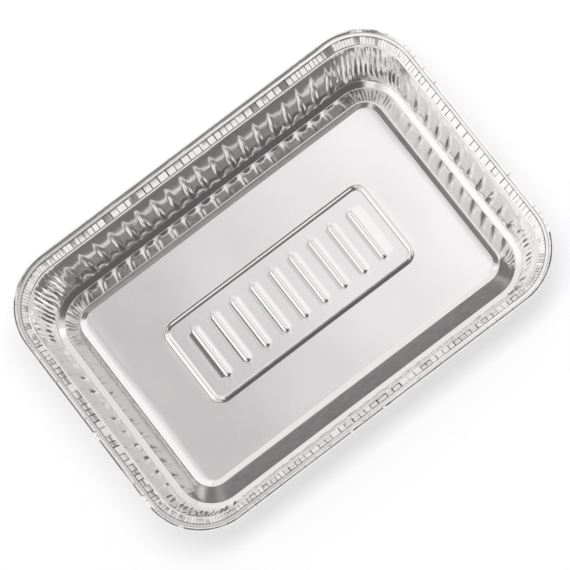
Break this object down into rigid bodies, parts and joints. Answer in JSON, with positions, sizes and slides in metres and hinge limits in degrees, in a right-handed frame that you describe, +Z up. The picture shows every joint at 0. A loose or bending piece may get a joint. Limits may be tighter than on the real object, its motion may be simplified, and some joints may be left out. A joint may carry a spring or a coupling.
{
  "type": "foil drip pan",
  "caption": "Shallow rectangular aluminium foil tray with fluted walls, gathered corners, a crimped band and a rolled edge, set under a cooking grate to catch fat.",
  "frame": {"origin": "middle of the pan, on the plane that its standing ring rests on", "axes": "+X along the long side, +Y along the short side, +Z up out of the open mouth"},
  "size_m": [0.218, 0.1524, 0.0318],
  "materials": {
    "foil": "bright rolled foil, slightly soft"
  },
  "bodies": {
    "root": {"pan": "foil"}
  },
  "joints": []
}
